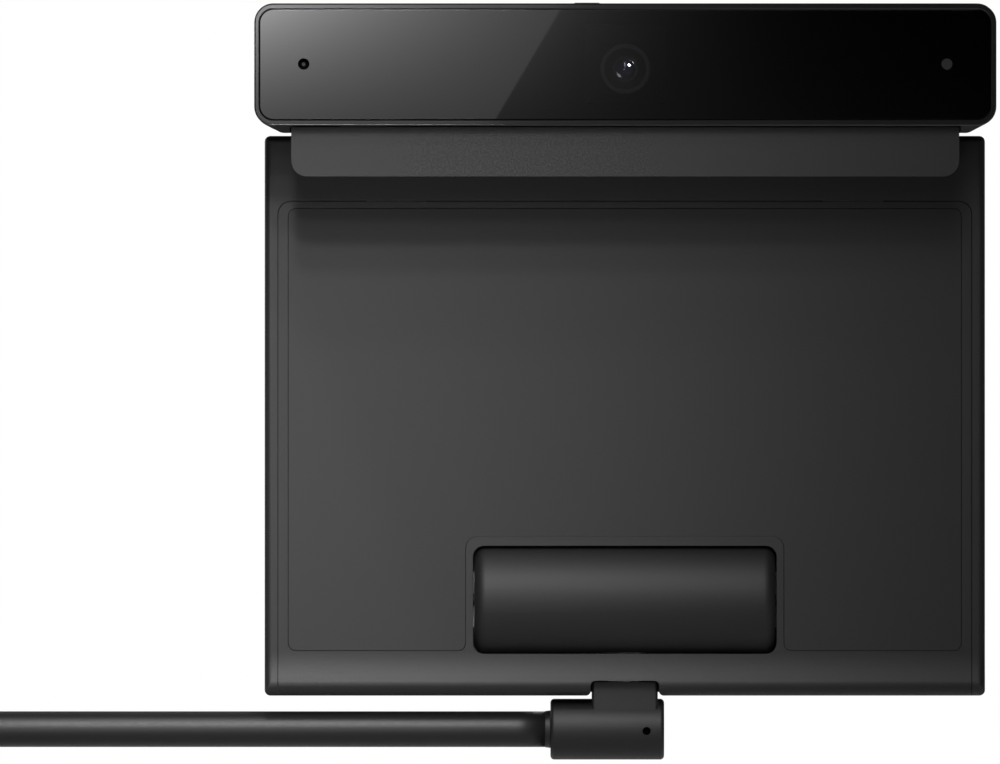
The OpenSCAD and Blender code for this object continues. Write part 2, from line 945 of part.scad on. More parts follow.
// Tube along a route that bends in the plane square to side
module swept_tube(route, r, side) {
    n = 12;
    last = len(route) - 1;
    points = [for (i = [0:last]) each ring_at(route, i, r, side, n)];
    walls = [
        for (i = [0:last - 1], k = [0:n - 1])
            let (a = i * n + k, b = i * n + (k + 1) % n)
            each [[a, b, b + n], [a, b + n, a + n]]
    ];
    start_cap = [for (k = [0:n - 1]) n - 1 - k];
    end_cap = [for (k = [0:n - 1]) last * n + k];
    polyhedron(points, concat(walls, [start_cap, end_cap]));
}

module cable() {
    color(rubber)
    swept_tube(cable_route, cable_d / 2, [0, 1, 0]);
}

module cable_tail() {
    color(rubber)
    swept_tube(tail_route, cable_d / 2, [1, 0, 0]);
}

// Oval outline with round ends, drawn about the hank's middle
module hank_oval(r) {
    x = hank_x - hank_r;
    z = hank_top - hank_h / 2;
    reach = hank_h / 2 - hank_r - cable_d / 2;
    translate([x - r, z - reach]) square([2 * r, 2 * reach]);
    for (s = [-1, 1])
        translate([x, z + s * reach]) circle(r);
}

module cable_hank() {
    color(rubber)
    along_y(hank_front, hank_back) difference() {
        hank_oval(hank_r + cable_d / 2);
        hank_oval(hank_r - cable_d / 2);
    }
}

module cable_tie() {
    x = hank_x - 2 * hank_r;
    z = hank_top - hank_h / 2;
    color(black)
    along_z(z - tie_w / 2, z + tie_w / 2) difference() {
        rounded(x - cable_d / 2 - tie_t, x + cable_d / 2 + tie_t, hank_front - tie_t,
                hank_back + tie_t, 2);
        translate([x - cable_d / 2, hank_front]) square([cable_d, hank_back - hank_front]);
    }
}

module far_plug_body() {
    color(rubber)
    intersection() {
        along_z(-318, -280) rounded(hank_x - 10.5, hank_x + 10.5, 61.4, 72.6, 3);
        along_y(50, 80) rounded(hank_x - 10.5, hank_x + 10.5, -318, -280, 3);
    }
}

module far_plug_shell() {
    color(steel)
    difference() {
        along_z(-329, -318) rounded(hank_x - 7, hank_x + 7, 64.8, 69.3, 1);
        along_z(-330, -320) rounded(hank_x - 6.5, hank_x + 6.5, 65.3, 68.8, 0.6);
    }
}

head_front_bezel();
front_glass();
head_shell();
head_chassis();
hinge_brackets();
hinge_pins();
lip_hinge_pins();
head_rest_pad();
camera_baffle();
camera_barrel();
camera_lens();
camera_board();
camera_bracket();
microphone_gasket();
microphone_board();
status_light_pipe();
status_light_board();
speaker_left();
speaker_right();
head_screws();
shutter_blade();
shutter_slider();
front_lip();
lip_pad();
leg_rear_shell();
leg_front_cover();
leg_soft_panel();
hinge_arm_left();
hinge_arm_right();
arm_screws();
main_board();
processor_shield();
thermal_pad();
heat_spreader();
wifi_antennas();
port_board();
port_socket();
rocker_bracket();
rocker_pin();
board_screws();
leg_screws();
rocker_core();
rocker_pad();
plug_body();
plug_shell();
plug_light();
strain_relief();
cable();
cable_hank();
cable_tail();
cable_tie();
far_plug_body();
far_plug_shell();
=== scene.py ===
"""Looks of a television camera bar: head, shutter, lip, leg, rocking pad and cable."""

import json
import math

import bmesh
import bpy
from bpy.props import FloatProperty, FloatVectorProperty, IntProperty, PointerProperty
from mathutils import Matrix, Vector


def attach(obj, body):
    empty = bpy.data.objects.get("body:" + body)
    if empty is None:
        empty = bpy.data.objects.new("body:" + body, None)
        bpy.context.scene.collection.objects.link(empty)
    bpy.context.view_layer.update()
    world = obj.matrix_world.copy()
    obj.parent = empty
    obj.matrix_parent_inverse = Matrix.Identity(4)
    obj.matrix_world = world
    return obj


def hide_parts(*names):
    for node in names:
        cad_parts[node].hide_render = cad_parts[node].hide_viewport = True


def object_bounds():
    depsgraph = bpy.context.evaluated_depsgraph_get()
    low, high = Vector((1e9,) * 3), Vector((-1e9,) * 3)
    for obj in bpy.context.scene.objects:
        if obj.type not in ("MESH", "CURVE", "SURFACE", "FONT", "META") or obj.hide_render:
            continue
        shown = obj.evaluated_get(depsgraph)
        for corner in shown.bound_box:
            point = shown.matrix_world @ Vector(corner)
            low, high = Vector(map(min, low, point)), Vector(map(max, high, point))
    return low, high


bl_info = {
    "name": "Camera bar",
    "version": (1, 0, 0),
    "blender": (4, 5, 0),
    "location": "3D View > Sidebar > Camera bar",
    "description": "Builds a television camera bar and its stage around a fixed frame",
    "category": "Object",
}

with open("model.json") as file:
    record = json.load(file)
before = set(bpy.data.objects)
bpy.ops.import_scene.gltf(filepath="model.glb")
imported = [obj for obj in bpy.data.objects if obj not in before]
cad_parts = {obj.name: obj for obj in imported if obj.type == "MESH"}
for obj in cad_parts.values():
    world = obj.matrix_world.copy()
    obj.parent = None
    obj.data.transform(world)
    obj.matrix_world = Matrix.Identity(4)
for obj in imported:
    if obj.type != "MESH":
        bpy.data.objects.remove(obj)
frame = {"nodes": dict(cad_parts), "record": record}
NODES = frame["nodes"]
BODY_OF = {n: b for b, ns in frame["record"]["behaviour"]["bodies"].items() for n in ns}
SLOT_OF = {s["node"]: s["material_slot"] for s in frame["record"]["subparts"]}
CAD_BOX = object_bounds()
MM = 0.001

# ---------------------------------------------------------------- settings


class CasingSettings(bpy.types.PropertyGroup):
    """Colours and edges of the moulded parts."""

    shell: FloatVectorProperty(
        name="Shell colour", description="Colour of the head, the leg and its cover",
        subtype="COLOR", default=(0.010, 0.0101, 0.0107), min=0, max=1)
    lip: FloatVectorProperty(
        name="Lip colour", description="Colour of the front lip, a little lighter",
        subtype="COLOR", default=(0.011, 0.0112, 0.0122), min=0, max=1)
    panel: FloatVectorProperty(
        name="Panel colour", description="Colour of the soft-touch panel on the leg",
        subtype="COLOR", default=(0.0104, 0.0105, 0.0112), min=0, max=1)
    roughness: FloatProperty(
        name="Roughness", description="Roughness of the moulded grain",
        default=0.55, min=0.1, max=0.9)
    edge: FloatProperty(
        name="Edge radius", description="Radius of the small edge roundings",
        unit="LENGTH", default=0.3 * MM, min=0.05 * MM, max=1 * MM)


class GlassSettings(bpy.types.PropertyGroup):
    """The front glass and its clear window."""

    window_half: FloatProperty(
        name="Window half width", description="Half width of the clear square",
        unit="LENGTH", default=10.3 * MM)
    window_low: FloatProperty(
        name="Window lower edge", description="Lower edge of the clear square",
        unit="LENGTH", default=7.2 * MM)
    window_high: FloatProperty(
        name="Window upper edge", description="Upper edge of the clear square",
        unit="LENGTH", default=27.1 * MM)
    print_colour: FloatVectorProperty(
        name="Print colour", description="Colour of the print behind the glass",
        subtype="COLOR", default=(0.0008, 0.0008, 0.0009), min=0, max=1)


class CableSettings(bpy.types.PropertyGroup):
    """The cable and its jacket."""

    diameter: FloatProperty(
        name="Diameter", description="Outer diameter of the cable",
        unit="LENGTH", default=9 * MM)
    sides: IntProperty(
        name="Sides", description="Number of sides of the cable's mesh",
        default=24, min=8, max=48)
    jacket: FloatVectorProperty(
        name="Jacket colour", description="Colour of the cable, plug and pad rubber",
        subtype="COLOR", default=(0.008, 0.0081, 0.0086), min=0, max=1)


class StageSettings(bpy.types.PropertyGroup):
    """Camera, lamps and floor."""

    view_width: FloatProperty(
        name="View width", description="Width that the camera takes in at the object",
        unit="LENGTH", default=250.6 * MM)
    distance: FloatProperty(
        name="Camera distance", description="Distance from the camera to the front glass",
        unit="LENGTH", default=9.0)
    lamp_power: FloatProperty(
        name="Lamp power", description="Factor on the power of every lamp",
        min=0, default=1.0)


def settings():
    return bpy.context.scene.camera_bar


# ---------------------------------------------------------------- materials


def new_material(name):
    """A node material with its texture coordinates in metres, and its shader."""
    material = bpy.data.materials.new(name)
    material.use_nodes = True
    tree = material.node_tree
    coords = tree.nodes.new("ShaderNodeTexCoord").outputs["Object"]
    return material, tree, tree.nodes["Principled BSDF"], coords


def noise_at(tree, coords, size, detail=2.0, stretch=None):
    """Noise whose blotches are about size metres across; stretch scales its axes."""
    source = coords
    if stretch:
        mapping = tree.nodes.new("ShaderNodeMapping")
        mapping.inputs["Scale"].default_value = stretch
        tree.links.new(coords, mapping.inputs["Vector"])
        source = mapping.outputs["Vector"]
    texture = tree.nodes.new("ShaderNodeTexNoise")
    texture.inputs["Scale"].default_value = 1 / size
    texture.inputs["Detail"].default_value = detail
    tree.links.new(source, texture.inputs["Vector"])
    return texture.outputs["Fac"]


def spread(tree, fac, low, high, start=0.3, end=0.7):
    """Maps a factor to the range low..high."""
    node = tree.nodes.new("ShaderNodeMapRange")
    node.inputs["From Min"].default_value = start
    node.inputs["From Max"].default_value = end
    node.inputs["To Min"].default_value = low
    node.inputs["To Max"].default_value = high
    tree.links.new(fac, node.inputs["Value"])
    return node.outputs["Result"]


def tinted(tree, fac, colour, low, high):
    """Blends from colour times low to colour times high."""
    node = tree.nodes.new("ShaderNodeMix")
    node.data_type = "RGBA"
    node.inputs["A"].default_value = (*[c * low for c in colour], 1)
    node.inputs["B"].default_value = (*[min(1, c * high) for c in colour], 1)
    tree.links.new(fac, node.inputs["Factor"])
    return node.outputs["Result"]


def bumped(tree, fac, shader, height, strength=1.0):
    node = tree.nodes.new("ShaderNodeBump")
    node.inputs["Strength"].default_value = strength
    node.inputs["Distance"].default_value = height
    tree.links.new(fac, node.inputs["Height"])
    tree.links.new(node.outputs["Normal"], shader.inputs["Normal"])


def moulded(name, colour, roughness, grain=0.35 * MM, height=0.012 * MM, wear=0.25):
    """Moulded plastic or rubber: fine spark grain, faint cloudiness and worn edges."""
    material, tree, shader, coords = new_material(name)
    cloud = noise_at(tree, coords, 30 * MM, 3)
    edge = tree.nodes.new("ShaderNodeNewGeometry").outputs["Pointiness"]
    worn = spread(tree, edge, 0, wear, 0.52, 0.62)
    body = tinted(tree, cloud, colour, 0.94, 1.06)
    mix = tree.nodes.new("ShaderNodeMix")
    mix.data_type = "RGBA"
    mix.inputs["B"].default_value = (*[min(1, c * 2.2) for c in colour], 1)
    tree.links.new(worn, mix.inputs["Factor"])
    tree.links.new(body, mix.inputs["A"])
    tree.links.new(mix.outputs["Result"], shader.inputs["Base Color"])
    speck = noise_at(tree, coords, grain, 1)
    rough = spread(tree, speck, roughness - 0.03, roughness + 0.03)
    tree.links.new(rough, shader.inputs["Roughness"])
    bumped(tree, speck, shader, height)
    return material


def painted_shade_black(name):
    """Near-black with almost no specular: painted shade that makes the ports, the plug's light and
    the inside of the baffle look like dark holes.
    """
    material = moulded(name, (0.0008, 0.0008, 0.0009), 0.8, wear=0)
    shader = next(n for n in material.node_tree.nodes if n.type == "BSDF_PRINCIPLED")
    shader.inputs["Specular IOR Level"].default_value = 0.03
    return material


def lacquered(name, colour):
    """Fine-grained plastic under a clear satin lacquer that mirrors the room softly."""
    material = moulded(name, colour, 0.5, wear=0)
    shader = next(n for n in material.node_tree.nodes if n.type == "BSDF_PRINCIPLED")
    shader.inputs["Specular IOR Level"].default_value = 0.15
    shader.inputs["Coat Weight"].default_value = 1.0
    shader.inputs["Coat Roughness"].default_value = 0.03
    return material


def metal(name, colour, roughness, brush=(1, 1, 40)):
    """Sheet or turned metal with brushed streaks along one axis."""
    material, tree, shader, coords = new_material(name)
    shader.inputs["Metallic"].default_value = 1.0
    streak = noise_at(tree, coords, 1.5 * MM, 3, brush)
    tree.links.new(tinted(tree, streak, colour, 0.85, 1.1), shader.inputs["Base Color"])
    tree.links.new(spread(tree, streak, roughness - 0.08, roughness + 0.1),
                   shader.inputs["Roughness"])
    bumped(tree, streak, shader, 0.01 * MM)
    return material


def circuit(name):
    """Solder mask over faint tracks, with plated pads."""
    material, tree, shader, coords = new_material(name)
    brick = tree.nodes.new("ShaderNodeTexBrick")
    brick.inputs["Scale"].default_value = 180
    brick.inputs["Color1"].default_value = (0.010, 0.060, 0.034, 1)
    brick.inputs["Color2"].default_value = (0.012, 0.075, 0.042, 1)
    brick.inputs["Mortar"].default_value = (0.03, 0.14, 0.08, 1)
    brick.inputs["Mortar Size"].default_value = 0.03
    tree.links.new(coords, brick.inputs["Vector"])
    tree.links.new(brick.outputs["Color"], shader.inputs["Base Color"])
    tree.links.new(spread(tree, noise_at(tree, coords, 2 * MM), 0.25, 0.4),
                   shader.inputs["Roughness"])
    bumped(tree, brick.outputs["Fac"], shader, 0.02 * MM)
    return material


def woven(name, colour, thread=0.7 * MM):
    """Woven strap: crossing ribs of thread with a soft sheen."""
    material, tree, shader, coords = new_material(name)
    shader.inputs["Sheen Weight"].default_value = 0.3
    shader.inputs["Roughness"].default_value = 0.85
    ribs = []
    for axis in ("X", "Z"):
        wave = tree.nodes.new("ShaderNodeTexWave")
        wave.bands_direction = axis
        wave.inputs["Scale"].default_value = 0.314 / thread
        wave.inputs["Distortion"].default_value = 0.6
        tree.links.new(coords, wave.inputs["Vector"])
        ribs.append(wave.outputs["Fac"])
    both = tree.nodes.new("ShaderNodeMath")
    both.operation = "MULTIPLY"
    for socket, rib in enumerate(ribs):
        tree.links.new(rib, both.inputs[socket])
    tree.links.new(tinted(tree, both.outputs[0], colour, 0.6, 1.8), shader.inputs["Base Color"])
    bumped(tree, both.outputs[0], shader, 0.12 * MM)
    return material


def printed_glass(name, colour):
    """Polished glass over a black print, with faint orange peel in its roughness."""
    material, tree, shader, coords = new_material(name)
    smear = noise_at(tree, coords, 12 * MM, 4)
    tree.links.new(tinted(tree, smear, colour, 0.8, 1.2), shader.inputs["Base Color"])
    tree.links.new(spread(tree, smear, 0.004, 0.008), shader.inputs["Roughness"])
    shader.inputs["IOR"].default_value = 1.5
    return material


def clear_window(name, tint=0.62):
    """Smoked glass that lets lamps through, with the same polish as the print."""
    material = bpy.data.materials.new(name)
    material.use_nodes = True
    tree = material.node_tree
    tree.nodes.clear()
    out = tree.nodes.new("ShaderNodeOutputMaterial")
    coords = tree.nodes.new("ShaderNodeTexCoord").outputs["Object"]
    through = tree.nodes.new("ShaderNodeBsdfTransparent")
    tree.links.new(tinted(tree, noise_at(tree, coords, 12 * MM), (tint, tint, tint * 1.03),
                          0.99, 1.01), through.inputs["Color"])
    gloss = tree.nodes.new("ShaderNodeBsdfGlossy")
    gloss.inputs["Roughness"].default_value = 0.006
    fresnel = tree.nodes.new("ShaderNodeFresnel")
    fresnel.inputs["IOR"].default_value = 1.5
    mix = tree.nodes.new("ShaderNodeMixShader")
    tree.links.new(fresnel.outputs["Fac"], mix.inputs["Fac"])
    tree.links.new(through.outputs["BSDF"], mix.inputs[1])
    tree.links.new(gloss.outputs["BSDF"], mix.inputs[2])
    tree.links.new(mix.outputs["Shader"], out.inputs["Surface"])
    return material


def coated_lens(name):
    """Dark lens glass with a faint coloured coat."""
    material, tree, shader, coords = new_material(name)
    tree.links.new(tinted(tree, noise_at(tree, coords, 2 * MM), (0.004, 0.004, 0.006), 0.8, 1.2),
                   shader.inputs["Base Color"])
    shader.inputs["Roughness"].default_value = 0.04
    shader.inputs["IOR"].default_value = 1.6
    shader.inputs["Coat Weight"].default_value = 1.0
    shader.inputs["Coat Tint"].default_value = (0.75, 0.8, 1.0, 1)
    return material


def finish_library():
    """Every finish of the object, made once, by the record's slot names."""
    casing, cable, glass = settings().casing, settings().cable, settings().glass
    rough = casing.roughness
    return {
        "graphite_shell": moulded("graphite_shell", casing.shell, rough),
        "bezel_gloss": lacquered("bezel_gloss", (0.04, 0.04, 0.042)),
        "front_glass": printed_glass("front_glass", glass.print_colour),
        "clear_window": clear_window("clear_window"),
        "black_plastic": moulded("black_plastic", (0.006, 0.006, 0.0065), 0.5, wear=0.1),
        "lip_plastic": moulded("lip_plastic", casing.lip, rough + 0.02),
        "soft_touch_panel": moulded("soft_touch_panel", casing.panel, rough + 0.02,
                                    0.25 * MM, 0.01 * MM),
        "black_rubber": moulded("black_rubber", cable.jacket, 0.58, 0.3 * MM),
        "plug_rubber": moulded("plug_rubber", cable.jacket, 0.55, 0.3 * MM),
        "cable_jacket": moulded("cable_jacket", cable.jacket, 0.48, 0.5 * MM, 0.015 * MM),
        # deep_black is painted shade: it stands in for the darkness inside holes and recesses.
        "deep_black": painted_shade_black("deep_black"),
        "lens_cup": moulded("lens_cup", (0.002, 0.002, 0.0022), 0.18, wear=0),
        "steel": metal("steel", (0.55, 0.56, 0.58), 0.32),
        "aluminium": metal("aluminium", (0.7, 0.71, 0.72), 0.38, (40, 1, 1)),
        "antenna_copper": metal("antenna_copper", (0.72, 0.45, 0.2), 0.3),
        "lens_glass": coated_lens("lens_glass"),
        "circuit_board": circuit("circuit_board"),
        "light_pipe": moulded("light_pipe", (0.006, 0.006, 0.0065), 0.6),
        "thermal_pad": moulded("thermal_pad", (0.3, 0.45, 0.52), 0.7),
        "tie_fabric": woven("tie_fabric", (0.012, 0.012, 0.013)),
    }


FINISH = {}


def finish(name):
    if not FINISH:
        FINISH.update(finish_library())
    return FINISH[name]


# ---------------------------------------------------------------- meshes


def add_piece(name, mesh, body, slot, *materials):
    """Links a mesh as a piece that rides on a body and takes its finish from a slot."""
    piece = bpy.data.objects.new(name, mesh)
    bpy.context.scene.collection.objects.link(piece)
    for material in materials or [finish(slot)]:
        mesh.materials.append(material)
    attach(piece, body)
    return piece


def paint(node, name):
    """Gives a CAD node that stays as it is a finish other than its slot's."""
    mesh = NODES[node].data
    mesh.materials.clear()
    mesh.materials.append(finish(name))


def dress(*nodes):
    """Gives CAD nodes that stay as they are the finish of their own slot."""
    for node in nodes:
        mesh = NODES[node].data
        mesh.materials.clear()
        mesh.materials.append(finish(SLOT_OF[node]))


def bare_form(node):
    """A CAD node's mesh as a welded form with only its true edges left."""
    mesh = NODES[node].data.copy()
    custom = mesh.attributes.get("custom_normal")
    if custom:
        mesh.attributes.remove(custom)
    mesh.materials.clear()
    form = bmesh.new()
    form.from_mesh(mesh)
    bmesh.ops.remove_doubles(form, verts=form.verts, dist=0.002 * MM)
    bmesh.ops.dissolve_limit(form, angle_limit=math.radians(0.6), verts=form.verts,
                             edges=form.edges)
    return mesh, form


def soften(piece, width, segments=3, angle=32):
    """Rounds the crisp edges of a piece and evens out its shading."""
    for polygon in piece.data.polygons:
        polygon.use_smooth = True
    bevel = piece.modifiers.new("edges", "BEVEL")
    bevel.width = width
    bevel.segments = segments
    bevel.limit_method = "ANGLE"
    bevel.angle_limit = math.radians(angle)
    bevel.harden_normals = True
    bevel.use_clamp_overlap = True
    return piece


def rounded_copy(node, name, width=None, segments=3, edit=None, materials=()):
    """A copy of a CAD node with rounded edges, which stands for the node."""
    mesh, form = bare_form(node)
    if edit:
        edit(form)
    form.to_mesh(mesh)
    form.free()
    piece = add_piece(name, mesh, BODY_OF[node], SLOT_OF[node], *materials)
    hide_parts(node)
    return soften(piece, settings().casing.edge if width is None else width, segments)


def tube_mesh(name, path, radius, sides, side):
    """A closed tube along a path; side is a direction the path never runs along."""
    form = bmesh.new()
    rings = []
    for i, point in enumerate(path):
        ahead = (path[min(i + 1, len(path) - 1)] - path[max(i - 1, 0)]).normalized()
        across = (side - ahead * side.dot(ahead)).normalized()
        up = ahead.cross(across)
        turns = [math.tau * k / sides for k in range(sides)]
        rings.append([form.verts.new(point + radius * (math.cos(a) * across + math.sin(a) * up))
                      for a in turns])
    for a, b in zip(rings, rings[1:]):
        for k in range(sides):
            n = (k + 1) % sides
            form.faces.new((a[k], a[n], b[n], b[k]))
    form.faces.new(reversed(rings[0]))
    form.faces.new(rings[-1])
    bmesh.ops.recalc_face_normals(form, faces=form.faces)
    mesh = bpy.data.meshes.new(name)
    form.to_mesh(mesh)
    form.free()
    mesh.polygons.foreach_set("use_smooth", [True] * len(mesh.polygons))
    return mesh


def smooth_route(points, step=3 * MM):
    """A smooth curve through given points, at even small steps."""
    fine = []
    padded_points = [points[0] * 2 - points[1], *points, points[-1] * 2 - points[-2]]
    for p0, p1, p2, p3 in zip(padded_points, padded_points[1:], padded_points[2:],
                              padded_points[3:]):
        count = max(2, round((p2 - p1).length / step))
        for k in range(count):
            t = k / count
            fine.append(0.5 * (2 * p1 + (p2 - p0) * t + (2 * p0 - 5 * p1 + 4 * p2 - p3) * t**2
                               + (3 * p1 - p0 - 3 * p2 + p3) * t**3))
    fine.append(points[-1])
    return fine


# ---------------------------------------------------------------- the cable

# The route's fixed points in millimetres: where the quarter bend starts, and the tail
EXIT_X, AXIS_Y, AXIS_Z = -20.1, 34, -150
BEND_R = 42
TAIL_ROUTE = [
    (-202, 61.2, -244), (-202, 62.5, -252), (-202, 64.9, -262), (-202, 66.6, -271),
    (-202, 67, -279.8),
]
# The hank: where its runs begin, the radius of its folds and its turns
HANK_X, HANK_Y, HANK_TOP, HANK_FOOT = -202, 34, -236.5, -323.5
FOLD_R, TURNS, PITCH = 36, 3, 9


def hank_points(step=4.0):
    """Oval turns that shift one cable diameter to the rear in each turn, in millimetres."""
    run = HANK_TOP - HANK_FOOT
    fold = math.pi * FOLD_R
    turn = 2 * run + 2 * fold
    count = int(TURNS * turn / step)
    points = []
    for i in range(1, count):
        s = i * TURNS * turn / count
        y = HANK_Y + PITCH * s / turn
        t = s % turn
        if t < run:
            x, z = 0, HANK_TOP - t
        elif t < run + fold:
            a = (t - run) / FOLD_R
            x, z = FOLD_R * (math.cos(a) - 1), HANK_FOOT - FOLD_R * math.sin(a)
        elif t < 2 * run + fold:
            x, z = -2 * FOLD_R, HANK_FOOT + t - run - fold
        else:
            a = (t - 2 * run - fold) / FOLD_R
            x, z = -FOLD_R * (1 + math.cos(a)), HANK_TOP + FOLD_R * math.sin(a)
        points.append((HANK_X + x, y, z))
    return points


def cable_path():
    """Straight from the plug, a quarter bend, down into the hank, and out by the tail."""
    bend_x = HANK_X + BEND_R
    route = [(EXIT_X + (bend_x - EXIT_X) * i / 20, AXIS_Y, AXIS_Z) for i in range(20)]
    for i in range(25):
        a = math.pi / 2 * i / 24
        route.append((bend_x - BEND_R * math.sin(a), AXIS_Y,
                      AXIS_Z - BEND_R * (1 - math.cos(a))))
    low = AXIS_Z - BEND_R
    route += [(HANK_X, AXIS_Y, low + (HANK_TOP - low) * i / 10) for i in range(1, 11)]
    tail = smooth_route([Vector(p) * MM for p in TAIL_ROUTE])
    return [Vector(p) * MM for p in route + hank_points()] + tail


def strap_mesh(name, centre, half_x, half_y, thick, width):
    """A flat strap that wraps a bundle, its end lying over its start."""
    form = bmesh.new()
    corner = 4.2 * MM
    outline = []
    for cx, cy, start in ((1, 1, 0), (-1, 1, 90), (-1, -1, 180), (1, -1, 270)):
        for k in range(9):
            a = math.radians(start + 90 * k / 8)
            outline.append(Vector((cx * (half_x - corner) + corner * math.cos(a),
                                   cy * (half_y - corner) + corner * math.sin(a), 0)))
    outline += outline[:12]
    rings = []
    count = len(outline)
    for i, point in enumerate(outline):
        lift = thick * min(1, max(0, (i - count + 16) / 4))
        ahead = (outline[(i + 1) % count] - outline[i - 1]).normalized() if 0 < i < count - 1 \
            else (outline[1] - outline[0]).normalized() if i == 0 \
            else (outline[-1] - outline[-2]).normalized()
        out = Vector((ahead.y, -ahead.x, 0))
        inner, outer = point + out * lift, point + out * (lift + thick * 0.92)
        rings.append([form.verts.new(centre + v + Vector((0, 0, s * width / 2)))
                      for v, s in ((inner, -1), (outer, -1), (outer, 1), (inner, 1))])
    for a, b in zip(rings, rings[1:]):
        for k in range(4):
            n = (k + 1) % 4
            form.faces.new((a[k], a[n], b[n], b[k]))
    form.faces.new(reversed(rings[0]))
    form.faces.new(rings[-1])
    bmesh.ops.recalc_face_normals(form, faces=form.faces)
    mesh = bpy.data.meshes.new(name)
    form.to_mesh(mesh)
    form.free()
    return mesh


class CAMERA_BAR_OT_cable(bpy.types.Operator):
    """Lays the cable from the plug to its hank and the far plug"""

    bl_idname = "camera_bar.cable"
    bl_label = "Cable"

    def execute(self, context):
        cable = settings().cable
        path = cable_path()
        mesh = tube_mesh("cable_jacket", path, cable.diameter / 2, cable.sides,
                         Vector((0.0, 1.0, 0.05)).normalized())
        piece = add_piece("cable_jacket", mesh, "cable", "cable_jacket")
        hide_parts("cable", "cable_hank", "cable_tail")
        middle = Vector((HANK_X - 2 * FOLD_R, HANK_Y + PITCH * 1.5, (HANK_TOP + HANK_FOOT) / 2))
        strap = add_piece("cable_strap", strap_mesh(
            "cable_strap", middle * MM, 4.7 * MM, 13.8 * MM, 0.7 * MM, 16 * MM),
            "cable", "tie_fabric")
        soften(strap, 0.2 * MM)
        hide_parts("cable_tie")
        shell = rounded_copy("far_plug_body", "far_plug_grip", 0.5 * MM)
        rounded_copy("strain_relief", "cable_collar", 0.15 * MM)
        dress("far_plug_shell", "plug_shell")
        # The plug's light gets painted shade (deep_black) so that it reads as a dark hole.
        paint("plug_light", "deep_black")
        return {"FINISHED"}


# ---------------------------------------------------------------- the head


class CAMERA_BAR_OT_head(bpy.types.Operator):
    """Makes the head's bezel, shell and underside"""

    bl_idname = "camera_bar.head"
    bl_label = "Head casing"

    def execute(self, context):
        bezel = rounded_copy("head_front_bezel", "bezel", 0.35 * MM,
                             materials=(finish("bezel_gloss"),))
        group = bpy.data.collections["lit_by_front_lamps"]
        group.objects.link(bezel)
        group.collection_objects[0].light_linking.link_state = "EXCLUDE"
        rounded_copy("head_shell", "head_casing", 0.3 * MM)
        rounded_copy("head_rest_pad", "rest_pad", 0.25 * MM)
        dress("head_screws", "hinge_brackets", "hinge_pins", "lip_hinge_pins",
              "head_chassis", "speaker_left", "speaker_right")
        return {"FINISHED"}


class CAMERA_BAR_OT_glass(bpy.types.Operator):
    """Makes the front glass with its clear square window"""

    bl_idname = "camera_bar.glass"
    bl_label = "Front glass"

    def execute(self, context):
        glass = settings().glass
        half = glass.window_half
        low, high = glass.window_low, glass.window_high

        def cut_window(form):
            for point, normal in (((-half, 0, 0), (1, 0, 0)), ((half, 0, 0), (1, 0, 0)),
                                  ((0, 0, low), (0, 0, 1)), ((0, 0, high), (0, 0, 1))):
                parts = form.verts[:] + form.edges[:] + form.faces[:]
                bmesh.ops.bisect_plane(form, geom=parts, plane_co=point, plane_no=normal)
            for face in form.faces:
                c = face.calc_center_median()
                if abs(c.x) < half and low < c.z < high and abs(face.normal.y) > 0.5:
                    face.material_index = 1

        rounded_copy("front_glass", "glass_plate", 0.12 * MM, 2, cut_window,
                     (finish("front_glass"), finish("clear_window")))
        return {"FINISHED"}


# Lens parts as radius and depth in millimetres, turned about the lens axis
LENS_Z = 15.9
LENS_CUP = [
    (2.6, 0.8), (2.6, -2.2), (2.5, -2.35), (2.4, -2.3), (2.1, -1.75), (1.95, -1.6),
    (1.95, -1.0), (0, -0.9),
]
# The small lamp that only the lens sees: its offset, half sizes and power
GLINT_OFFSET = (0.51, -0.89, 0.51)
GLINT_HALF = (0.15, 0.15)
GLINT_WATTS = 60
LENS_DOME = [(0, -1.9)] + [
    (r, 2.5 - math.sqrt(4.4**2 - r**2)) for r in (0.2, 0.4, 0.6, 0.8, 1, 1.2, 1.4, 1.6, 1.8, 1.9)
] + [(1.94, -1.3), (1.94, -0.95), (0, -0.95)]


def turned(name, profile, height, sides=64):
    """A solid turned about a line that runs front to back at a height."""
    form = bmesh.new()
    rings = []
    for r, y in profile:
        if r == 0:
            rings.append([form.verts.new((0, y * MM, height * MM))] * sides)
            continue
        turns = [math.tau * k / sides for k in range(sides)]
        rings.append([form.verts.new((r * MM * math.cos(a), y * MM,
                                      (height + r * math.sin(a)) * MM)) for a in turns])
    for a, b in zip(rings, rings[1:]):
        for k in range(sides):
            n = (k + 1) % sides
            corners = list(dict.fromkeys((a[k], a[n], b[n], b[k])))
            form.faces.new(corners)
    edge = [e for e in form.edges if e.is_boundary]
    if edge:
        bmesh.ops.holes_fill(form, edges=edge, sides=0)
    bmesh.ops.recalc_face_normals(form, faces=form.faces)
    mesh = bpy.data.meshes.new(name)
    form.to_mesh(mesh)
    form.free()
    mesh.polygons.foreach_set("use_smooth", [True] * len(mesh.polygons))
    return mesh


